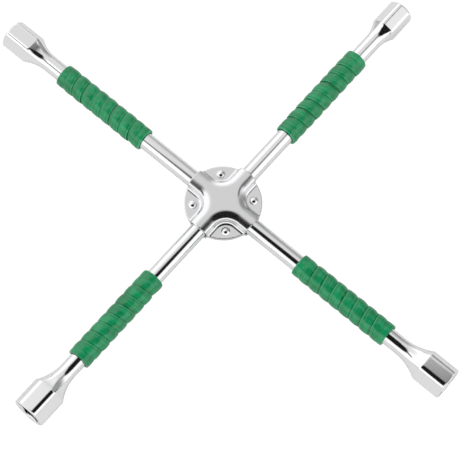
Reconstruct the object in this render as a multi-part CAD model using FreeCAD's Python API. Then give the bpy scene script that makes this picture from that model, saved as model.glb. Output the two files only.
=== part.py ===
"""Four-way lug wrench: two forged steel bars half-lapped and welded at the crossing, clamped
between two stamped hub plates by four rivets, with a wound grip on each arm.

Millimetres. The origin is the crossing of the two bar axes, X and Y run along the bars, Z is up.
"""
import FreeCAD, Part
import math
import os

V = FreeCAD.Vector
ORIGIN = V(0, 0, 0)
X_AXIS = V(1, 0, 0)
Y_AXIS = V(0, 1, 0)
Z_AXIS = V(0, 0, 1)

# ---- driving dimensions -------------------------------------------------------------------
ARM_LENGTH = 254.0        # crossing to socket mouth: 508 mm (20 in) overall
BAR_RADIUS = 7.75
HEAD_LENGTH = 25.5        # straight hexagonal part of each head
SOCKET_DEPTH = 19.0       # full hexagon, mouth to drill point
FLANK_START = 0.08        # how far the neck's flats start outside the round bar
CORNER_SHARE = 0.2        # radius of a head's rounded corners, as a share of its size across flats
SHOULDER_STEP = 0.4       # how far outside the head's flats the neck's flanks end
MOUTH_CHAMFER = 1.4       # length of the outer chamfer at a socket's mouth
MOUTH_EDGE = 0.2          # how far inside the flats that chamfer ends
LEAD_IN_WIDTH = 2.5       # the turned lead-in inside the mouth, across its cone
LEAD_IN_DEPTH = 2.0
LEAD_IN_CLEARANCE = 0.15  # how far it opens past the hexagon's corners
DRILL_POINT = 0.2         # depth of the drill point, as a share of the socket's size

PLATE_THICKNESS = 1.5     # sheet of both hub plates
PLATE_RADIUS = 34.6
CROWN_RADIUS = 16.0       # outside of a channel's crown, flatter than the bar under it
CROWN_EDGE = 28.0         # slope of the crown where it meets the shoulder, in degrees
SHOULDER_RADIUS = 3.0     # outside of the channel's shoulder
BEND_RADIUS = 3.5         # outer bend at the foot of a channel
ELBOW_RADIUS = 22.0       # plan radius of the channels' centre line round each rivet

RIVET_CIRCLE = 27.25
RIVET_SHANK_RADIUS = 2.4
RIVET_HEAD_RADIUS = 4.0
RIVET_HEAD_HEIGHT = 2.1

SLEEVE_THICKNESS = 0.9    # soft layer under each grip's tape
GRIP_RADIUS = 10.7        # crest of a turn of tape
GRIP_VALLEY_RADIUS = 9.9  # groove between two turns
GRIP_TURNS = 9
GRIP_LIP = 1.0            # tape that closes down onto the bar at each end of a grip

WELD_LOW = 2.5            # a weld bead fills its groove between these two heights
WELD_HIGH = 5.8

MARGIN = 1.0              # how far a tool reaches past what it cuts

# One row per arm: direction in plan (degrees), nut size, outer size across flats, neck length,
# turn of the hexagon about the arm, and the grip's two ends measured from the crossing.
ARMS = {
    "21": dict(angle=0, socket=21.0, outer=28.4, neck=27.0, turn=0.0, grip=(86.6, 188.2)),
    "17": dict(angle=90, socket=17.0, outer=22.8, neck=17.0, turn=20.5, grip=(85.6, 188.8)),
    "19": dict(angle=180, socket=19.0, outer=25.8, neck=20.0, turn=0.0, grip=(91.5, 191.2)),
    "23": dict(angle=270, socket=23.0, outer=29.0, neck=25.0, turn=6.0, grip=(92.6, 191.8)),
}

# ---- worked out from them -----------------------------------------------------------------
CHANNEL_TOP = BAR_RADIUS + PLATE_THICKNESS
BEND_HEIGHT = PLATE_THICKNESS + BEND_RADIUS
CROWN_SLOPE = math.radians(CROWN_EDGE)
CROWN_CENTRE = CHANNEL_TOP - CROWN_RADIUS  # height of the crown's centre
SHOULDER_OUT = (CROWN_RADIUS - SHOULDER_RADIUS) * math.sin(CROWN_SLOPE)  # the shoulder's centre
SHOULDER_UP = CROWN_CENTRE + (CROWN_RADIUS - SHOULDER_RADIUS) * math.cos(CROWN_SLOPE)
BEND_REACH = SHOULDER_RADIUS + BEND_RADIUS
FOOT = SHOULDER_OUT + math.sqrt(BEND_REACH**2 - (BEND_HEIGHT - SHOULDER_UP) ** 2)
SLEEVE_RADIUS = BAR_RADIUS + SLEEVE_THICKNESS
HALF_CORNER = math.radians(30)
BLANK_CORNER = math.radians(27.5)  # angle from a flat's centre at which the turned blank crosses it


def line(a, b):
    return Part.LineSegment(a, b).toShape()


def arc(a, middle, b):
    return Part.Arc(a, middle, b).toShape()


def face(edges):
    return Part.Face(Part.Wire(edges))


def turned_to_arm(shape, arm):
    """A shape drawn along +X, turned to point along its arm."""
    shape.rotate(ORIGIN, Z_AXIS, arm["angle"])
    return shape


def flare(x0, x1, r0, r1):
    """Arc in the XY plane that leaves (x0, r0) along X and rises to (x1, r1)."""
    slope = 2 * math.atan2(r1 - r0, x1 - x0)
    radius = (x1 - x0) / math.sin(slope)
    half = V(x0 + radius * math.sin(slope / 2), r0 + radius * (1 - math.cos(slope / 2)), 0)
    return arc(V(x0, r0, 0), half, V(x1, r1, 0))


# ---- bars ---------------------------------------------------------------------------------
def hexagon(across_flats, x):
    """Hexagonal face across the X axis, with one flat facing up."""
    reach = across_flats / 2 / math.cos(HALF_CORNER)
    corners = [V(x, reach * math.cos(k * math.pi / 3), reach * math.sin(k * math.pi / 3)) for k in range(7)]
    return Part.Face(Part.makePolygon(corners))


def head_prism(arm):
    """Hexagon with rounded corners and one flat facing up, drawn out along the whole arm."""
    flat = arm["outer"] / 2
    corner = CORNER_SHARE * arm["outer"]
    out = (flat - corner) / math.cos(HALF_CORNER)
    start = V(-MARGIN, 0, 0)

    def on_corner(k, turn):
        """Point of corner k, seen from the corner's own centre at `turn` from its middle."""
        middle = k * math.pi / 3
        y = out * math.cos(middle) + corner * math.cos(middle + turn)
        z = out * math.sin(middle) + corner * math.sin(middle + turn)
        return start + V(0, y, z)

    edges = []
    for k in range(6):
        leaves = on_corner(k, HALF_CORNER)
        edges.append(arc(on_corner(k, -HALF_CORNER), on_corner(k, 0), leaves))
        edges.append(line(leaves, on_corner(k + 1, -HALF_CORNER)))
    return face(edges).extrude(V(ARM_LENGTH + 2 * MARGIN, 0, 0))


def turned_blank(arm):
    """Round bar that flares into a head just wider than the hexagon's rounded corners."""
    shoulder = ARM_LENGTH - HEAD_LENGTH
    neck_start = shoulder - arm["neck"]
    corner = arm["outer"] / 2 / math.cos(BLANK_CORNER)
    chamfer_start = V(ARM_LENGTH - MOUTH_CHAMFER, corner, 0)
    chamfer_end = V(ARM_LENGTH, arm["outer"] / 2 - MOUTH_EDGE, 0)
    edges = [
        line(V(0, 0, 0), V(0, BAR_RADIUS, 0)),
        line(V(0, BAR_RADIUS, 0), V(neck_start, BAR_RADIUS, 0)),
        flare(neck_start, shoulder, BAR_RADIUS, corner),
        line(V(shoulder, corner, 0), chamfer_start),
        line(chamfer_start, chamfer_end),
        line(chamfer_end, V(ARM_LENGTH, 0, 0)),
        line(V(ARM_LENGTH, 0, 0), V(0, 0, 0)),
    ]
    return face(edges).revolve(ORIGIN, X_AXIS, 360)


def flank_pair(arm):
    """Everything between two opposite flanks of a neck, which end just outside the head's flats."""
    shoulder = ARM_LENGTH - HEAD_LENGTH
    neck_start = shoulder - arm["neck"]
    low = BAR_RADIUS + FLANK_START
    high = arm["outer"] / 2 + SHOULDER_STEP
    start = -MARGIN
    end = ARM_LENGTH + MARGIN
    width = arm["outer"]
    edges = [
        line(V(start, 0, 0), V(start, low, 0)),
        line(V(start, low, 0), V(neck_start, low, 0)),
        flare(neck_start, shoulder, low, high),
        line(V(shoulder, high, 0), V(end, high, 0)),
        line(V(end, high, 0), V(end, 0, 0)),
        line(V(end, 0, 0), V(start, 0, 0)),
    ]
    upper = face(edges)
    upper.rotate(ORIGIN, X_AXIS, 90)
    upper.translate(V(0, width, 0))
    upper = upper.extrude(V(0, -2 * width, 0))
    lower = upper.copy()
    lower.rotate(ORIGIN, X_AXIS, 180)
    return upper.fuse(lower).removeSplitter()


def socket_cut(arm):
    """Hexagonal hole with a drill point at its bottom and a lead-in chamfer at its mouth."""
    radius = arm["socket"] / 2
    bottom = ARM_LENGTH - SOCKET_DEPTH
    hole = hexagon(arm["socket"], bottom).extrude(V(SOCKET_DEPTH + MARGIN, 0, 0))
    hole.rotate(ORIGIN, X_AXIS, arm["turn"])
    point = DRILL_POINT * arm["socket"]
    drill = Part.makeCone(0, radius, point, V(bottom - point, 0, 0), X_AXIS)
    mouth = radius / math.cos(HALF_CORNER) + LEAD_IN_CLEARANCE
    lead_in_start = V(ARM_LENGTH - LEAD_IN_DEPTH, 0, 0)
    lead_in = Part.makeCone(mouth - LEAD_IN_WIDTH, mouth, LEAD_IN_DEPTH, lead_in_start, X_AXIS)
    return hole.fuse([drill, lead_in])


def half_bar(arm):
    """One arm of a bar with its finished head: what the blank, the prism and three flank pairs share."""
    prism = head_prism(arm)
    prism.rotate(ORIGIN, X_AXIS, arm["turn"])
    shape = turned_blank(arm).common(prism)
    for k in range(3):
        flanks = flank_pair(arm)
        flanks.rotate(ORIGIN, X_AXIS, arm["turn"] + 60 * k)
        shape = shape.common(flanks)
    return turned_to_arm(shape.cut(socket_cut(arm)), arm)


def bar(first, second, notch_above):
    """Both arms of one bar, cut half away at the crossing so that the other bar fits in."""
    whole = half_bar(ARMS[first]).fuse(half_bar(ARMS[second])).removeSplitter()
    wide = 2 * BAR_RADIUS
    base = 0 if notch_above else -wide
    return whole.cut(Part.makeBox(wide, wide, wide, V(-BAR_RADIUS, -BAR_RADIUS, base)))


def weld_bead(quarter_turns):
    """Bead in the groove between the notch wall at +X and the round of the bar along Y."""
    lapped = Part.makeCylinder(BAR_RADIUS, 4 * BAR_RADIUS, V(-2 * BAR_RADIUS, 0, 0), X_AXIS)
    crossing = Part.makeCylinder(BAR_RADIUS, 4 * BAR_RADIUS, V(0, -2 * BAR_RADIUS, 0), Y_AXIS)
    slab = Part.makeBox(BAR_RADIUS, 2 * BAR_RADIUS, WELD_HIGH - WELD_LOW, V(0, -BAR_RADIUS, WELD_LOW))
    bead = slab.common(lapped).cut(crossing)
    bead.rotate(ORIGIN, Z_AXIS, 180 * quarter_turns)
    if quarter_turns >= 2:  # the other two lie on the underside, along the other bar's notch
        bead.rotate(ORIGIN, X_AXIS, 180)
        bead.rotate(ORIGIN, Z_AXIS, 90)
    return bead


# ---- hub ----------------------------------------------------------------------------------
def sheet_section(inward, outward):
    """Section of the stamped sheet in the YZ plane: Y is the distance from a channel's centre line.

    It runs from `inward` past the centre line, at full height, over the channel's shoulder, round
    the bend at its foot and out along the flange to `outward`.
    """
    lean = math.asin((BEND_HEIGHT - SHOULDER_UP) / BEND_REACH)  # of the line between two centres

    def around(out, up, radius, angle):
        return V(0, out + radius * math.cos(angle), up + radius * math.sin(angle))

    def skin(inset):
        """The edges of one side of the sheet from the crown to the foot, and their two ends."""
        upright = math.pi / 2
        slope = upright - CROWN_SLOPE
        crown_at = (0, CROWN_CENTRE, CROWN_RADIUS - inset)
        shoulder_at = (SHOULDER_OUT, SHOULDER_UP, SHOULDER_RADIUS - inset)
        bend_at = (FOOT, BEND_HEIGHT, BEND_RADIUS + inset)
        top = around(*crown_at, upright)
        crown = arc(top, around(*crown_at, (upright + slope) / 2), around(*crown_at, slope))
        edge = around(*shoulder_at, slope)
        meet = around(*shoulder_at, lean)
        shoulder = arc(edge, around(*shoulder_at, (slope + lean) / 2), meet)
        foot = around(*bend_at, -upright)
        bend = arc(meet, around(*bend_at, (lean - math.pi - upright) / 2), foot)
        return top, foot, [crown, shoulder, bend]

    top, foot, outside = skin(0)
    low_top, low_foot, inside = skin(PLATE_THICKNESS)
    edges = outside + [line(foot, V(0, outward, PLATE_THICKNESS))]
    edges += [line(V(0, outward, PLATE_THICKNESS), V(0, outward, 0)), line(V(0, outward, 0), low_foot)]
    edges += inside
    if inward > 0:
        edges += [line(low_top, V(0, -inward, BAR_RADIUS))]
        edges += [line(V(0, -inward, BAR_RADIUS), V(0, -inward, CHANNEL_TOP))]
        edges += [line(V(0, -inward, CHANNEL_TOP), top)]
    else:
        edges += [line(low_top, top)]
    return Part.Face(Part.Wire(Part.__sortEdges__(edges)))


def plate_quarter():
    """The plate's quarter at +X +Y: an elbow round the rivet, and the two channels it joins."""
    past_elbow = PLATE_RADIUS + MARGIN - ELBOW_RADIUS
    inward = ELBOW_RADIUS * (math.sqrt(2) - 1) + MARGIN
    section = sheet_section(inward, ELBOW_RADIUS)
    section.translate(V(ELBOW_RADIUS, 0, 0))
    elbow = section.revolve(V(ELBOW_RADIUS, ELBOW_RADIUS, 0), Z_AXIS, -90)
    square = Part.makeBox(ELBOW_RADIUS, ELBOW_RADIUS, 2 * CHANNEL_TOP, V(0, 0, -CHANNEL_TOP))
    elbow = elbow.common(square)
    straight = sheet_section(0, ELBOW_RADIUS)
    straight.translate(V(ELBOW_RADIUS, 0, 0))
    along_x = straight.extrude(V(past_elbow, 0, 0))
    along_y = along_x.mirror(ORIGIN, V(1, -1, 0))
    corner = Part.makeBox(past_elbow, past_elbow, PLATE_THICKNESS, V(ELBOW_RADIUS, ELBOW_RADIUS, 0))
    return elbow.fuse([along_x, along_y, corner])


def hub_plate(face_up):
    """Stamped plate of four quarters with a rivet hole in each; the lower one is turned over."""
    quarter = plate_quarter()
    quarters = []
    for k in range(4):
        copy = quarter.copy()
        copy.rotate(ORIGIN, Z_AXIS, 90 * k)
        quarters.append(copy)
    plate = quarters[0].fuse(quarters[1:])
    plate = plate.common(Part.makeCylinder(PLATE_RADIUS, 2 * CHANNEL_TOP, V(0, 0, -MARGIN)))
    for k in range(4):
        hole_start = V(RIVET_CIRCLE, 0, -MARGIN)
        hole = Part.makeCylinder(RIVET_SHANK_RADIUS, PLATE_THICKNESS + 2 * MARGIN, hole_start)
        hole.rotate(ORIGIN, Z_AXIS, 45 + 90 * k)
        plate = plate.cut(hole)
    plate = plate.removeSplitter()
    if not face_up:
        plate.rotate(ORIGIN, X_AXIS, 180)
    return plate


def rivet(quarter):
    """Shank through both plates with the same low dome on each side."""
    top = PLATE_THICKNESS
    bulge = (RIVET_HEAD_RADIUS**2 + RIVET_HEAD_HEIGHT**2) / (2 * RIVET_HEAD_HEIGHT)
    half_way = math.asin(RIVET_HEAD_RADIUS / bulge) / 2
    crest = top + RIVET_HEAD_HEIGHT
    on_dome = V(bulge * math.sin(half_way), 0, crest - bulge * (1 - math.cos(half_way)))
    edges = [
        line(ORIGIN, V(RIVET_SHANK_RADIUS, 0, 0)),
        line(V(RIVET_SHANK_RADIUS, 0, 0), V(RIVET_SHANK_RADIUS, 0, top)),
        line(V(RIVET_SHANK_RADIUS, 0, top), V(RIVET_HEAD_RADIUS, 0, top)),
        arc(V(RIVET_HEAD_RADIUS, 0, top), on_dome, V(0, 0, crest)),
        line(V(0, 0, crest), ORIGIN),
    ]
    upper = face(edges).revolve(ORIGIN, Z_AXIS, 360)
    lower = upper.copy()
    lower.rotate(ORIGIN, X_AXIS, 180)
    shape = upper.fuse(lower).removeSplitter()
    shape.translate(V(RIVET_CIRCLE, 0, 0))
    shape.rotate(ORIGIN, Z_AXIS, 45 + 90 * quarter)
    return shape


# ---- grips --------------------------------------------------------------------------------
def grip_sleeve(arm):
    """Soft tube on the bar, covered by the tape and by its lips."""
    start, end = arm["grip"]
    base = V(start + GRIP_LIP, 0, 0)
    length = end - start - 2 * GRIP_LIP
    outside = Part.makeCylinder(SLEEVE_RADIUS, length, base, X_AXIS)
    inside = Part.makeCylinder(BAR_RADIUS, length, base, X_AXIS)
    return turned_to_arm(outside.cut(inside), arm)


def grip_wrap(arm):
    """Closed outer form of the wound tape: one low barrel for each turn, closed over the sleeve."""
    start, end = arm["grip"]
    pitch = (end - start) / GRIP_TURNS
    edges = []
    for k in range(GRIP_TURNS):
        a = V(start + k * pitch, GRIP_VALLEY_RADIUS, 0)
        b = V(start + (k + 1) * pitch, GRIP_VALLEY_RADIUS, 0)
        edges.append(arc(a, V((a.x + b.x) / 2, GRIP_RADIUS, 0), b))
    inner = [
        V(start, GRIP_VALLEY_RADIUS, 0),
        V(start, BAR_RADIUS, 0),
        V(start + GRIP_LIP, BAR_RADIUS, 0),
        V(start + GRIP_LIP, SLEEVE_RADIUS, 0),
        V(end - GRIP_LIP, SLEEVE_RADIUS, 0),
        V(end - GRIP_LIP, BAR_RADIUS, 0),
        V(end, BAR_RADIUS, 0),
        V(end, GRIP_VALLEY_RADIUS, 0),
    ]
    edges += [line(a, b) for a, b in zip(inner, inner[1:])]
    outline = Part.Wire(Part.__sortEdges__(edges))
    return turned_to_arm(Part.Face(outline).revolve(ORIGIN, X_AXIS, 360), arm)


# ---- the assembly -------------------------------------------------------------------------
nodes = {
    "bar_19_21": bar("21", "19", notch_above=True),
    "bar_17_23": bar("17", "23", notch_above=False),
    "upper_hub_plate": hub_plate(face_up=True),
    "lower_hub_plate": hub_plate(face_up=False),
}
for quarter in range(4):
    nodes[f"hub_rivet_{quarter + 1}"] = rivet(quarter)
    nodes[f"weld_bead_{quarter + 1}"] = weld_bead(quarter)
for size, arm in ARMS.items():
    nodes[f"grip_sleeve_{size}"] = grip_sleeve(arm)
    nodes[f"grip_wrap_{size}"] = grip_wrap(arm)

os.makedirs("parts", exist_ok=True)
for name, shape in nodes.items():
    print(f"{name:16s} solids {len(shape.Solids)} valid {shape.isValid()} volume {shape.Volume:9.1f}")
    shape.exportStep(f"parts/{name}.step")
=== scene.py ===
# %% [markdown]
# # A four-way lug wrench
# Two forged steel bars cross at the hub, where two stamped plates and four rivets clamp them.
# Each arm ends in a hexagonal socket and carries a grip of soft green tape wound round it.
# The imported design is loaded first. Its metal pieces keep their exact shapes and get their finishes
# here; the four grips are modelled here, because tape that overlaps itself is a matter of looks.

# %% Load the frame
import math

import bmesh
import bpy
from mathutils import Matrix, Vector, noise


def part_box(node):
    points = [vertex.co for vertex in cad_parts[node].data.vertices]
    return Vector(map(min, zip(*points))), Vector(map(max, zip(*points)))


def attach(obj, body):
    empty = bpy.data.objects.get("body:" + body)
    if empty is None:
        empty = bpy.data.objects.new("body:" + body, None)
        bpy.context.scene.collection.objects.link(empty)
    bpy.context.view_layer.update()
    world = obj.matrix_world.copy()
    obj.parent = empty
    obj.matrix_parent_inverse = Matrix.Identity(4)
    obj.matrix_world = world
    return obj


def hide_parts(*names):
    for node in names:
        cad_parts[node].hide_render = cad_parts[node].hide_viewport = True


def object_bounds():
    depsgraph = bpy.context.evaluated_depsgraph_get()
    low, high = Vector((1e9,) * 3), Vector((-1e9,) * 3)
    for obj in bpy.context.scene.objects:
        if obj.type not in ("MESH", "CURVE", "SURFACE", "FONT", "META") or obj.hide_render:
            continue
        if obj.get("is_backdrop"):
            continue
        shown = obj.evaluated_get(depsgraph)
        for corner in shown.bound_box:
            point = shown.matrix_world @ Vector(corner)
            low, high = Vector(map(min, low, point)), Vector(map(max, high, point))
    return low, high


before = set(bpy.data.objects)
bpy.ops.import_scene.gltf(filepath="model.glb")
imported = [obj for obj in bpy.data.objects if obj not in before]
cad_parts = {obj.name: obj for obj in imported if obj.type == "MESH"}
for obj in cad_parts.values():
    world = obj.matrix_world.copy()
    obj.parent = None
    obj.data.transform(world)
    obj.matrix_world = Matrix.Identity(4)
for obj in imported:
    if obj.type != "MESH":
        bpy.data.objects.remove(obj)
cad_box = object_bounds()
MM = 0.001
print("nodes:", len(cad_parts), "box:", [[round(c, 4) for c in corner] for corner in cad_box])

# %% [markdown]
# The four arms lie along the X and Y axes. Each one is named after the nut that its socket fits, and
# the place of its grip is read from the box of the grip's design solid, so nothing is measured twice.
# The heads are the thickest part of the wrench, so their lowest point is where the table is.

# %% The arms
ARM_ANGLES = {"21": 0, "17": 90, "19": 180, "23": 270}
BARS = ("bar_19_21", "bar_17_23")


def reach(node, degrees):
    """Nearest and furthest distance from the hub that a node of an arm covers."""
    low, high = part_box(node)
    angle = math.radians(degrees)
    direction = Vector((round(math.cos(angle)), round(math.sin(angle)), 0))
    return sorted((low.dot(direction), high.dot(direction)))


grip_spans = {size: reach(f"grip_wrap_{size}", angle) for size, angle in ARM_ANGLES.items()}
for size, (start, end) in grip_spans.items():
    print(f"grip {size}: {start:.4f} to {end:.4f} m along its arm")
TABLE_HEIGHT = min(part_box(bar)[0].z for bar in BARS)
print("table at", round(TABLE_HEIGHT, 5))

# %% [markdown]
# The camera looks down on the wrench from a steep angle with a long lens, a little rolled, so the
# cross fills the frame from corner to corner. A long lens from further off keeps the four arms the
# same size; a short one close by would swell the nearest head. The Standard view transform keeps
# white as white, which a picture of polished metal on a white table needs.

# %% Camera
AZIMUTH = math.radians(35.86)
ELEVATION = math.radians(69.3)
ROLL = math.radians(4.88)
DISTANCE = 1.5815
FOCAL_LENGTH = 137.8
TARGET = Vector((0.02125, -0.01013, 0))

camera_turn = Matrix.Rotation(AZIMUTH, 3, "Z") @ Matrix.Rotation(math.pi / 2 - ELEVATION, 3, "X")
camera_turn = camera_turn @ Matrix.Rotation(ROLL, 3, "Z")
camera_place = TARGET + camera_turn @ Vector((0, 0, DISTANCE))
bpy.ops.object.camera_add(location=camera_place, rotation=camera_turn.to_euler())
camera = bpy.context.object
camera.data.sensor_width = 36
camera.data.lens = FOCAL_LENGTH
camera.data.clip_end = 20
bpy.context.scene.camera = camera
bpy.context.scene.view_settings.view_transform = "Standard"
print("camera at", [round(c, 3) for c in camera.location])

# %% [markdown]
# Shader maths reads best as plain formulas. `Wire` wraps one socket of a node tree and turns the
# usual operators into Math nodes; `Finish` starts a node tree and makes every other node. Wiring the
# nodes one by one gives the same result in five times the lines.

# %% Shader helpers


class Wire:
    """One output socket, with arithmetic that adds Math nodes."""

    def __init__(self, tree, socket):
        self.tree = tree
        self.socket = socket

    def maths(self, operation, *values, clamp=False):
        node = self.tree.nodes.new("ShaderNodeMath")
        node.operation = operation
        node.use_clamp = clamp
        for slot, value in zip(node.inputs, values):
            plug(self.tree, slot, value)
        return Wire(self.tree, node.outputs[0])

    def __add__(self, other):
        return self.maths("ADD", self, other)

    def __sub__(self, other):
        return self.maths("SUBTRACT", self, other)

    def __rsub__(self, other):
        return self.maths("SUBTRACT", other, self)

    def __mul__(self, other):
        return self.maths("MULTIPLY", self, other)

    def __truediv__(self, other):
        return self.maths("DIVIDE", self, other)

    def __pow__(self, other):
        return self.maths("POWER", self, other)

    def __abs__(self):
        return self.maths("ABSOLUTE", self)

    __radd__ = __add__
    __rmul__ = __mul__

    def larger(self, other):
        return self.maths("MAXIMUM", self, other)

    def clamped(self):
        """Held between 0 and 1."""
        return self.maths("ADD", self, 0, clamp=True)

    def smooth(self, low, high):
        """0 below low, 1 above high, and an S-curve between."""
        node = self.tree.nodes.new("ShaderNodeMapRange")
        node.interpolation_type = "SMOOTHSTEP"
        plug(self.tree, node.inputs["Value"], self)
        node.inputs["From Min"].default_value = low
        node.inputs["From Max"].default_value = high
        return Wire(self.tree, node.outputs["Result"])


def plug(tree, slot, value):
    """Links a wire to a socket, or sets the socket to a plain value."""
    if isinstance(value, Wire):
        tree.links.new(value.socket, slot)
    else:
        slot.default_value = value


class Finish:
    """A node tree under construction."""

    def __init__(self, tree):
        self.tree = tree
        tree.nodes.clear()

    def node(self, kind, settings=None, **values):
        """Adds a node, sets its settings, then fills its inputs: their names use _ for a space."""
        node = self.tree.nodes.new("ShaderNode" + kind)
        for name, value in (settings or {}).items():
            setattr(node, name, value)
        for name, value in values.items():
            plug(self.tree, node.inputs[name.replace("_", " ")], value)
        return node

    def wire(self, node, output=0):
        return Wire(self.tree, node.outputs[output])

    def place(self):
        """Where a point lies on its object, in metres."""
        return self.wire(self.node("TexCoord"), "Object")

    def noise(self, at, scale, detail):
        """Soft noise between 0 and 1."""
        return self.wire(self.node("TexNoise", Vector=at, Scale=scale, Detail=detail), "Fac")

    def mix(self, factor, a, b):
        """Colour mix of a and b."""
        node = self.node("Mix", {"data_type": "RGBA"})
        for k, value in ((0, factor), (6, a), (7, b)):
            plug(self.tree, node.inputs[k], value)
        return self.wire(node, 2)

    def either(self, share, first, second):
        """Shader mix: the first where share is 0, the second where it is 1."""
        node = self.node("MixShader")
        for slot, value in zip(node.inputs, (share, self.wire(first), self.wire(second))):
            plug(self.tree, slot, value)
        return node

    def surface(self, shader):
        """Sends a shader to the material's output."""
        self.node("OutputMaterial", Surface=self.wire(shader))


def new_material(name):
    material = bpy.data.materials.new(name)
    material.use_nodes = True
    return material, Finish(material.node_tree)


print("shader helpers ready")

# %% [markdown]
# ## The studio
# Polished chrome has no look of its own: it shows what stands around it. Even white light from all
# sides would leave the wrench as flat as paper. So the studio is a white tent with a greyer roof, a
# dark far side, and a thin skirting where it meets the table. Lamps could light it as well, but each
# lamp leaves a hard spot on every curve; a tent painted by direction is soft everywhere. The roof
# and the far side are round patches: the first angle says how far from its middle a patch has faded
# out, the second how far it is still full. The shades are chosen to suit this one view.

# %% The tent
WHITE = (1, 1, 1, 1)
TENT_WHITE = 1.2
ROOF_LIGHT = 0.76
ROOF_TOWARDS = (-0.05, 0.42, 0.9)
ROOF_DEGREES = (42.0, 18.0)
FAR_SHARE = 0.28
FAR_TOWARDS = (0.2, 0.95, 0.2)
FAR_DEGREES = (48.0, 16.0)
SKIRTING_FOOT = (-0.02, 0.02)
SKIRTING_TOP = (0.06, 0.14)
SKIRTING_SHADE = 0.6

tent = bpy.data.worlds.new("tent")
bpy.context.scene.world = tent
tent.use_nodes = True
cloth = Finish(tent.node_tree)
direction = cloth.wire(cloth.node("TexCoord"), "Generated")


def facing(towards):
    """Cosine of the angle between the direction looked in and a fixed one."""
    node = cloth.node("VectorMath", {"operation": "DOT_PRODUCT"})
    plug(cloth.tree, node.inputs[0], direction)
    node.inputs[1].default_value = Vector(towards).normalized()
    return cloth.wire(node, "Value")


def patch(towards, degrees):
    """A soft round patch: 1 within the second angle of a direction, 0 outside the first."""
    outer, inner = (math.cos(math.radians(angle)) for angle in degrees)
    return facing(towards).smooth(outer, inner)


upward = facing((0, 0, 1))
skirting = upward.smooth(*SKIRTING_FOOT) * (1 - upward.smooth(*SKIRTING_TOP))
roof = TENT_WHITE - (TENT_WHITE - ROOF_LIGHT) * patch(ROOF_TOWARDS, ROOF_DEGREES)
far_side = 1 - (1 - FAR_SHARE) * patch(FAR_TOWARDS, FAR_DEGREES)
light = roof * far_side * (1 - SKIRTING_SHADE * skirting)
background = cloth.node("Background", Color=WHITE, Strength=light)
cloth.node("OutputWorld", Surface=cloth.wire(background))
print("tent nodes:", len(tent.node_tree.nodes))

# %% [markdown]
# The wrench lies on a lit table, which comes out pure white round it. If the light that the table
# shows to the camera also reached the chrome, the undersides would glow, so the table is made twice:
# the lit top is a little lower, and a sheet of plain paper, which shows only in reflections, lies
# over it.
# The lit top is clear from below, so that the underside of the wrench can be looked at through it.

# %% The table
TABLE_SIZE = 12.0
TABLE_LIGHT = 1.05
PAPER = (0.76, 0.76, 0.76, 1)


def staged_plane(name, size, height, material, *, seen):
    """A flat piece of the studio. `seen` says whether it shows to the camera."""
    bpy.ops.object.select_all(action="DESELECT")
    bpy.ops.mesh.primitive_plane_add(size=size, location=(0, 0, height))
    plane = bpy.context.object
    plane.name = name
    plane.visible_camera = seen
    plane.data.materials.append(material)
    plane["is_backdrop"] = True
    print(name, "at", round(height, 4), "shows" if seen else "only reflects")
    return plane


lit_acrylic, f = new_material("lit_acrylic")
from_below = f.wire(f.node("NewGeometry"), "Backfacing")
glow = f.node("Emission", Color=WHITE, Strength=TABLE_LIGHT)
f.surface(f.either(from_below, glow, f.node("BsdfTransparent")))
staged_plane("light_table", TABLE_SIZE, TABLE_HEIGHT - 2 * MM, lit_acrylic, seen=True)
paper, f = new_material("paper")
f.surface(f.node("BsdfDiffuse", Color=PAPER))
staged_plane("paper_sheet", TABLE_SIZE, TABLE_HEIGHT, paper, seen=False)

# %% [markdown]
# A studio gives chrome its black lines with a dark card held over the object: each curve that turns
# towards the card shows it as a stripe. The card here is an oval with soft edges. Two narrow booms
# reach out from it, only to give two of the bars their thin dark line in this view. A hard-edged card
# would be simpler, but its edge would show on the hub as a cut.

# %% The dark card
CARD_DISTANCE = 1.0
CARD_MIDDLE = (0.075, 0.06)
CARD_REACH = (0.755, 0.56)
CARD_TURN = 0.1
CARD_SIZE = 2.4
FADE = 0.25
BOOM_ROOT = 0.1
BOOM_TIP = 0.2
# For each boom: angle in degrees, width, length and darkness.
BOOMS = ((42, 0.12, 1.15, 0.80), (160, 0.12, 1.15, 0.92))
CARD_BLACK = (0.01, 0.01, 0.01, 1)

card_black, f = new_material("card_black")
spot = f.node("SeparateXYZ", Vector=f.place())
x, y = f.wire(spot, 0), f.wire(spot, 1)
from_middle = ((x / CARD_REACH[0]) ** 2 + (y / CARD_REACH[1]) ** 2) ** 0.5
darkness = 1 - from_middle.smooth(1 - FADE, 1 + FADE)
for degrees, width, length, share in BOOMS:
    ahead_x, ahead_y = math.cos(math.radians(degrees)), math.sin(math.radians(degrees))
    ahead = x * ahead_x + y * ahead_y
    aside = abs(y * ahead_x - x * ahead_y)
    boom = ahead.smooth(0, BOOM_ROOT) * (1 - ahead.smooth(length, length + BOOM_TIP))
    boom = boom * (1 - aside.smooth(0.5 * width, 1.5 * width))
    darkness = darkness.larger(share * boom)
black = f.node("BsdfDiffuse", Color=CARD_BLACK)
f.surface(f.either(darkness, f.node("BsdfTransparent"), black))

card = staged_plane("dark_card", CARD_SIZE, 0, card_black, seen=False)
held_over = Matrix.Translation(TARGET) @ camera_turn.to_4x4()
held_over = held_over @ Matrix.Translation((*CARD_MIDDLE, CARD_DISTANCE))
card.matrix_world = held_over @ Matrix.Rotation(CARD_TURN, 4, "Z")
card.visible_diffuse = False
card.visible_shadow = False

# %% [markdown]
# ## The metal
# The bars and sockets are forged, ground and chrome plated, so they are bright and a little cloudy.
# The hub plates are stamped from sheet before plating and are duller, and the rivet heads lie
# between. All three are the same recipe: a metal with cloudy roughness, specks far too small to
# count, and a Bevel node that rounds the edges, as grinding and polishing do. It rounds them in the
# shading only, so the mesh keeps its sharp edges: rounding those would need a bevel on every edge of
# the design.

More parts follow.
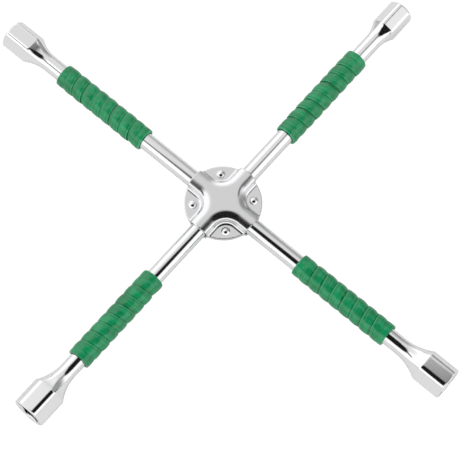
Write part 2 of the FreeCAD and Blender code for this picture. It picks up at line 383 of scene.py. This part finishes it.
# %% Chrome
CLOUD_SCALE = 60.0
CLOUDINESS = 0.04
SPECK_SCALE = 900.0
SPECK_DEPTH = 0.2 * MM
BEVEL_SAMPLES = 12


def chrome(name, color, roughness, edge_radius):
    """Plated steel with a given tint, dullness and rounding of its edges."""
    material, f = new_material(name)
    clouds = f.noise(f.place(), CLOUD_SCALE, 3.0)
    specks = f.noise(f.place(), SPECK_SCALE, 2.0)
    round_edge = f.wire(f.node("Bevel", {"samples": BEVEL_SAMPLES}, Radius=edge_radius))
    bump = f.wire(f.node("Bump", Strength=0.05, Distance=SPECK_DEPTH, Height=specks, Normal=round_edge))
    shader = f.node("BsdfPrincipled", Roughness=roughness + CLOUDINESS * clouds, Normal=bump)
    shader.inputs["Base Color"].default_value = (*color, 1)
    shader.inputs["Metallic"].default_value = 1.0
    f.surface(shader)
    return material


def refinish(node, material):
    """Gives a design node a new material in each of its slots."""
    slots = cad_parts[node].data.materials
    for k in range(len(slots)):
        slots[k] = material
    print(node, "->", material.name)


forged = chrome("forged_chrome", (0.93, 0.93, 0.94), 0.05, 2.0 * MM)
stamped = chrome("stamped_chrome", (0.82, 0.82, 0.83), 0.10, 1.5 * MM)
riveted = chrome("rivet_chrome", (0.88, 0.88, 0.89), 0.08, 0.3 * MM)
for node in BARS:
    refinish(node, forged)
for node in ("upper_hub_plate", "lower_hub_plate"):
    refinish(node, stamped)
for k in range(1, 5):
    refinish(f"hub_rivet_{k}", riveted)

# %% [markdown]
# Two finishes hardly show. Each grip sits on a thin rubber underlay that can be seen only at its ends,
# and the crossing of the bars is welded under the plates. They still get a finish of their own: the
# underlay is dull and pitted, and a weld bead is grey, rippled along its length and tinted by heat.

# %% Rubber underlay and weld metal
def underlay_rubber():
    material, f = new_material("underlay_rubber")
    cells = f.wire(f.node("TexVoronoi", Vector=f.place(), Scale=1400.0), "Distance")
    blotches = f.noise(f.place(), 120.0, 2.0)
    color = f.mix(blotches, (0.004, 0.030, 0.014, 1), (0.010, 0.060, 0.030, 1))
    bump = f.wire(f.node("Bump", Strength=0.6, Distance=0.2 * MM, Height=cells))
    f.surface(f.node("BsdfPrincipled", Base_Color=color, Roughness=0.8 + 0.1 * blotches, Normal=bump))
    return material


def weld_metal():
    material, f = new_material("weld_metal")
    ripples = f.wire(f.node("TexWave", Vector=f.place(), Scale=350.0, Distortion=2.0), "Fac")
    heat = f.noise(f.place(), 200.0, 2.0)
    color = f.mix(heat.smooth(0.4, 0.65), (0.33, 0.32, 0.31, 1), (0.22, 0.17, 0.13, 1))
    bump = f.wire(f.node("Bump", Strength=0.5, Distance=0.3 * MM, Height=ripples))
    shader = f.node("BsdfPrincipled", Base_Color=color, Roughness=0.35 + 0.2 * heat, Normal=bump)
    shader.inputs["Metallic"].default_value = 1.0
    f.surface(shader)
    return material


rubber = underlay_rubber()
beads = weld_metal()
for size in ARM_ANGLES:
    refinish(f"grip_sleeve_{size}", rubber)
for k in range(1, 5):
    refinish(f"weld_bead_{k}", beads)

# %% [markdown]
# ## The green tape
# The grips are wound with soft glossy vinyl. It is a deep green that turns paler where it is
# stretched, with fine lines along the tape. Along its edge it is palest, partly for being stretched
# thin and partly from a painted highlight; a patchy line of painted shade lies just inside the edge,
# and painted shade darkens each turn where it dips into the lap under the next.
# The pattern follows the tape, not the arm, so it reads two attributes that the winding leaves on
# the mesh: `across`, from 0 at the near edge of the tape to 1 at the far one, and `turns`, how many
# turns along the tape a point is. Noise on plain coordinates would run straight over the laps.

# %% Tape finish
DEEP_GREEN = (0.0, 0.17, 0.052, 1)
# Paler where the vinyl is stretched, and the painted highlight along its edge.
STRETCH_AND_HIGHLIGHT_GREEN = (0.006, 0.35, 0.13, 1)
# Colour of the painted shade, in the laps and in the line just inside the edge.
PAINTED_SHADE_GREEN = (0.0, 0.125, 0.035, 1)
LINES_ACROSS = 26
LINES_ALONG = 3
# Places across the tape, each from where a mark begins to where it is full.
# The edge gets a painted highlight; the line just inside it and the lap get painted shade.
EDGE_ENDS = (0.02, 0.07)
SHADE_LINE_BEGINS = (0.09, 0.12)
SHADE_LINE_ENDS = (0.14, 0.18)
LAP_SHADE_BEGINS = (0.60, 0.70)


def vinyl():
    """Soft green vinyl: paler where pulled thin over a crest, with a painted highlight on its edge and
    painted shade in the laps.
    """
    material, f = new_material("green_vinyl")
    across = f.wire(f.node("Attribute", {"attribute_name": "across"}), "Fac")
    turns = f.wire(f.node("Attribute", {"attribute_name": "turns"}), "Fac")
    along_tape = f.wire(f.node("CombineXYZ", X=across * LINES_ACROSS, Y=turns * LINES_ALONG))
    lines = f.noise(along_tape, 1.0, 3.0)
    clouds = f.noise(f.place(), 90.0, 2.0)
    grain = f.noise(f.place(), 2200.0, 1.0)
    # The edge is palest, partly from being stretched thin and partly from a painted highlight.
    edge = 1 - across.smooth(*EDGE_ENDS)
    # A patchy line of painted shade just inside the edge.
    shade_line = across.smooth(*SHADE_LINE_BEGINS) * (1 - across.smooth(*SHADE_LINE_ENDS)) * clouds.smooth(0.35, 0.6)
    # Painted shade where each turn dips into the lap under the next one.
    lap = across.smooth(*LAP_SHADE_BEGINS)
    # Paleness from stretch lines and clouds, plus the edge's painted highlight.
    stretched_and_highlit = (0.6 * lines + 0.4 * clouds).smooth(0.36, 0.62) * 0.75 + 0.8 * edge
    color = f.mix(stretched_and_highlit.clamped(), DEEP_GREEN, STRETCH_AND_HIGHLIGHT_GREEN)
    color = f.mix((lap + 0.6 * shade_line).clamped(), color, PAINTED_SHADE_GREEN)
    relief = lines + 0.04 * grain
    bump = f.wire(f.node("Bump", Strength=0.25, Distance=0.3 * MM, Height=relief))
    shader = f.node("BsdfPrincipled", Base_Color=color, Roughness=0.14 + 0.08 * clouds, Normal=bump)
    shader.inputs["Specular IOR Level"].default_value = 0.6
    f.surface(shader)
    return material


tape = vinyl()
print("tape finish nodes:", len(tape.node_tree.nodes))

# %% [markdown]
# ## The wound grips
# Each grip is one strip of soft vinyl tape, wound from the hub side outwards. Every turn laps over the
# turn before it, so its near edge stands proud and shows as a dark line, deepened by painted shade in
# the lap beneath it, and its far side dips under the next turn. A stack of rings would look too
# regular and would show no lap. A helix with a real strip in section does both, so the strip's outline
# is drawn once, swept by a Screw modifier, and closed off by a straight turn at each end, as the hand
# that wound it would finish it.
#
# The outline starts as a plane as wide as the tape and as thick. Its corners are rounded, its long
# sides are subdivided, its face is deleted, and each point is lifted to the radius of a lapped turn.

# %% The strip in section
TAPE_WIDTH = 15.5 * MM
TAPE_THICKNESS = 0.5 * MM
CORNER_RADIUS = 0.2 * MM
OUTSIDE_CUTS = 26
INSIDE_CUTS = 10
CREST_RADIUS = 10.95 * MM
CREST_AT = 0.33
NEXT_TURN_AT = 0.72
EDGE_DROP = 0.60 * MM
LAP_DROP = 1.10 * MM
TUCKED_DROP = 0.50 * MM
# How far below the crest the middle and the two edges of a straight turn lie: hub side, head side.
FIRST_DROPS = (0.15 * MM, 0.50 * MM, 0.70 * MM)
LAST_DROPS = (0.10 * MM, 0.50 * MM, 0.40 * MM)


def lapped(across):
    """Outside radius of a lapped turn: a barrel up to the next lap, then the part tucked under it."""
    if across < CREST_AT:
        return CREST_RADIUS - EDGE_DROP * (1 - across / CREST_AT) ** 2.2
    fall = LAP_DROP * min(1.0, (across - CREST_AT) / (NEXT_TURN_AT - CREST_AT)) ** 2
    return CREST_RADIUS - fall - TUCKED_DROP * max(0.0, across - NEXT_TURN_AT) / (1 - NEXT_TURN_AT)


def first_turn(across):
    """The straight turn at the hub side dips under the winding."""
    middle, hub_side, head_side = FIRST_DROPS
    return CREST_RADIUS - middle - hub_side * (1 - across) ** 4 - head_side * across**2


def last_turn(across):
    """The straight turn at the head side covers the winding and ends in a low rounded lip."""
    middle, hub_side, head_side = LAST_DROPS
    return CREST_RADIUS - middle - hub_side * (1 - across) ** 3 - head_side * across**4


def edit(select_mode):
    """Enters edit mode on the active object with everything deselected."""
    bpy.ops.object.mode_set(mode="EDIT")
    bpy.ops.mesh.select_mode(type=select_mode)
    bpy.ops.mesh.select_all(action="DESELECT")
    return bmesh.from_edit_mesh(bpy.context.object.data)


def choose(elements, wanted):
    """Selects the elements that `wanted` says yes to."""
    for element in elements:
        if wanted(element):
            element.select_set(True)
    bmesh.update_edit_mesh(bpy.context.object.data)


def strip_outline(name, width, thickness, radius_at, shown=1.0):
    """Outline of the strip in the XY plane: X along the arm, Y outwards from its axis.

    `shown` scales what the finish reads as the place across the tape, so that a strip with nothing
    over it never reaches the painted shade of the lap.
    """
    bpy.ops.object.select_all(action="DESELECT")
    bpy.ops.mesh.primitive_plane_add(size=1)
    piece = bpy.context.object
    piece.name = name
    piece.data.transform(Matrix.Diagonal((width, thickness, 1, 1)) @ Matrix.Translation((0.5, -0.5, 0)))
    edit("VERT")
    bpy.ops.mesh.select_all(action="SELECT")
    bpy.ops.mesh.bevel(offset=CORNER_RADIUS, segments=3, affect="VERTICES")
    for side, cuts in ((0.0, OUTSIDE_CUTS), (-thickness, INSIDE_CUTS)):
        bpy.ops.mesh.select_all(action="DESELECT")
        bpy.ops.mesh.select_mode(type="EDGE")
        mesh = bmesh.from_edit_mesh(piece.data)
        choose(mesh.edges, lambda e: all(abs(v.co.y - side) < 1e-7 for v in e.verts))
        bpy.ops.mesh.subdivide(number_cuts=cuts)
    bpy.ops.mesh.select_all(action="SELECT")
    bpy.ops.mesh.delete(type="ONLY_FACE")
    bpy.ops.object.mode_set(mode="OBJECT")
    across = piece.data.attributes.new("across", "FLOAT", "POINT")
    start = piece.data.attributes.new("start", "FLOAT", "POINT")
    for k, vertex in enumerate(piece.data.vertices):
        share = vertex.co.x / width
        across.data[k].value = share * shown
        start.data[k].value = vertex.co.x
        vertex.co.y += radius_at(share)
    return piece


outline = strip_outline("trial_strip", TAPE_WIDTH, TAPE_THICKNESS, lapped)
print("outline points:", len(outline.data.vertices))
bpy.data.objects.remove(outline)

# %% [markdown]
# A Screw modifier turns the outline round the arm and moves it along by one pitch a turn. With no
# pitch it makes a closed ring. With a pitch the strip has two cut ends, and each is closed by a face.

# %% Winding
STEPS_PER_TURN = 60


def wind(piece, turns, pitch):
    """Sweeps the outline round the X axis and closes the two cut ends."""
    screw = piece.modifiers.new("wind", "SCREW")
    screw.axis = "X"
    screw.angle = 2 * math.pi
    screw.iterations = turns
    screw.screw_offset = pitch
    screw.steps = STEPS_PER_TURN
    screw.render_steps = STEPS_PER_TURN
    screw.use_merge_vertices = pitch == 0
    screw.merge_threshold = 1e-6
    bpy.ops.object.modifier_apply(modifier=screw.name)
    if pitch:
        choose(edit("EDGE").edges, lambda e: e.is_boundary)
        bpy.ops.mesh.edge_face_add()
        bpy.ops.object.mode_set(mode="OBJECT")
    return piece


trial = wind(strip_outline("trial_turn", TAPE_WIDTH, TAPE_THICKNESS, lapped), 1, 0)
print("points in one turn:", len(trial.data.vertices))
bpy.data.objects.remove(trial)

# %% [markdown]
# Wound by hand, no two turns are quite alike: the lap wanders, the vinyl bulges and thins, and being
# stretched leaves fine lines along it. Those are vertex moves here, read from smooth noise at a place
# counted along the tape, so that the lines follow the winding and not the bar. A Displace modifier
# could move the points too, but it can't count turns.

# %% Slack and stretch lines
LAP_WANDER = 0.9 * MM
WANDER_RATE = 2.1
BULGE = 0.30 * MM
BULGE_SIZE = 10 * MM
BULGE_RATE = 1.3
STRETCH_LINE = 0.07 * MM
# Waves across the tape, and waves in one turn along it.
COARSE_LINES = (13, 2.2)
FINE_LINES = (31, 3.5)
HIDDEN_FROM = 12.5 * MM
WOUND_TURNS = 8
TUCK_TURNS = 0.4
TUCK_DEPTH = 0.5 * MM


def tape_noise(across, along, waves, seed):
    """Smooth noise, between -1 and 1, in a place on the flat tape."""
    return noise.noise(Vector((across * waves[0], along * waves[1], seed)))


def stretch_line(across, along, seed):
    """Height of the fine lines along the tape, between about -1.5 and 1.5."""
    coarse = tape_noise(across, along, COARSE_LINES, 3 * seed)
    return coarse + 0.5 * tape_noise(across, along, FINE_LINES, 5 * seed)


def settle(piece, pitch, seed):
    """Moves each point of a wound strip a little, and keeps how many turns along the tape it is."""
    mesh = piece.data
    across = mesh.attributes["across"].data
    start = mesh.attributes["start"].data
    turns = mesh.attributes.new("turns", "FLOAT", "POINT")
    for k, vertex in enumerate(mesh.vertices):
        x, y, z = vertex.co
        radius = math.hypot(y, z)
        angle = math.atan2(z, y)
        along = (x - start[k].value) / pitch if pitch else (angle / (2 * math.pi)) % 1.0
        turns.data[k].value = along
        here = Vector((math.cos(angle), math.sin(angle), 0)) * radius / BULGE_SIZE
        wander = noise.noise(Vector((along * WANDER_RATE, seed, 0.5)))
        bulge = noise.noise(Vector((here.x, here.y, along * BULGE_RATE + 7 * seed)))
        in_view = max(0.0, 1 - across[k].value * TAPE_WIDTH / HIDDEN_FROM)
        radius += BULGE * bulge * (0.4 + 0.6 * in_view)
        radius += STRETCH_LINE * stretch_line(across[k].value, along, seed)
        if pitch:
            tuck = max(0.0, 1 - along / TUCK_TURNS) + max(0.0, 1 - (WOUND_TURNS - along) / TUCK_TURNS)
            radius -= TUCK_DEPTH * tuck**2
        vertex.co = (x + LAP_WANDER * wander, radius * math.cos(angle), radius * math.sin(angle))


print("slack:", LAP_WANDER / MM, "mm along the arm,", BULGE / MM, "mm outwards")

# %% [markdown]
# The strip starts under the first straight turn and ends under the last one. It is wider than the room
# left there, so its tail is bisected off just inside the grip's end, and the cut is filled. Winding
# each grip afresh, with its own seed, costs little and keeps the four from looking like copies.

# %% The four grips
END_WIDTH = 9 * MM
END_THICKNESS = 2.1 * MM
END_GAP = 0.8 * MM
END_SHOWN = 0.5
STRIP_START = 3.2 * MM
STRIP_ROOM = END_WIDTH + 2.2 * MM
TAIL_CUT = 2 * MM
SHARP_ANGLE = math.radians(50)


def outward(piece):
    """Makes every face of a closed strip point outwards."""
    bpy.ops.object.select_all(action="DESELECT")
    bpy.context.view_layer.objects.active = piece
    piece.select_set(True)
    edit("FACE")
    bpy.ops.mesh.select_all(action="SELECT")
    bpy.ops.mesh.normals_make_consistent(inside=False)
    bpy.ops.object.mode_set(mode="OBJECT")


def wound_strip(name, start, end, seed):
    """The lapped winding of one grip, with its tail cut off inside the grip's end."""
    pitch = (end - start - STRIP_ROOM) / WOUND_TURNS
    strip = wind(strip_outline(name, TAPE_WIDTH, TAPE_THICKNESS, lapped), WOUND_TURNS, pitch)
    settle(strip, pitch, seed)
    strip.data.transform(Matrix.Translation((start + STRIP_START, 0, 0)))
    edit("VERT")
    bpy.ops.mesh.select_all(action="SELECT")
    cut = {"plane_co": (end - TAIL_CUT, 0, 0), "plane_no": (1, 0, 0)}
    bpy.ops.mesh.bisect(**cut, clear_outer=True, use_fill=True)
    bpy.ops.object.mode_set(mode="OBJECT")
    print(f"{name}: pitch {pitch / MM:.1f} mm")
    return strip


def straight_turn(radius_at, place, seed):
    """One closed ring of tape at an end of a grip."""
    ring = wind(strip_outline("ring", END_WIDTH, END_THICKNESS, radius_at, END_SHOWN), 1, 0)
    settle(ring, 0, seed)
    ring.data.transform(Matrix.Translation((place, 0, 0)))
    return ring


def wound_grip(size, seed):
    """The whole grip of one arm: first straight turn, the winding, last straight turn."""
    start, end = grip_spans[size]
    strip = wound_strip(f"grip_tape_{size}", start, end, seed)
    first = straight_turn(first_turn, start + END_GAP, seed + 0.3)
    last = straight_turn(last_turn, end - END_WIDTH - END_GAP, seed + 0.6)
    parts = (strip, first, last)
    for part in parts:
        outward(part)
    for part in parts:
        part.select_set(True)
    bpy.context.view_layer.objects.active = strip
    bpy.ops.object.join()
    bpy.ops.object.shade_smooth_by_angle(angle=SHARP_ANGLE)
    strip.data.transform(Matrix.Rotation(math.radians(ARM_ANGLES[size]), 4, "Z"))
    strip.data.materials.append(tape)
    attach(strip, "root")
    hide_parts(f"grip_wrap_{size}")
    print(f"{strip.name}: {len(strip.data.vertices)} points")
    return strip


for k, size in enumerate(ARM_ANGLES):
    wound_grip(size, 1.7 * k + 0.57)

# %% [markdown]
# The tape may stand a little proud of its design solid, but the wrench keeps its size. The largest
# change between the box of the design and the box of what is shown is printed.

# %% Sizes
shown_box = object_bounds()
growth = [max(abs(a - b) for a, b in zip(*corners)) for corners in zip(cad_box, shown_box)]
print("largest change of the box:", round(max(growth) / MM, 2), "mm")
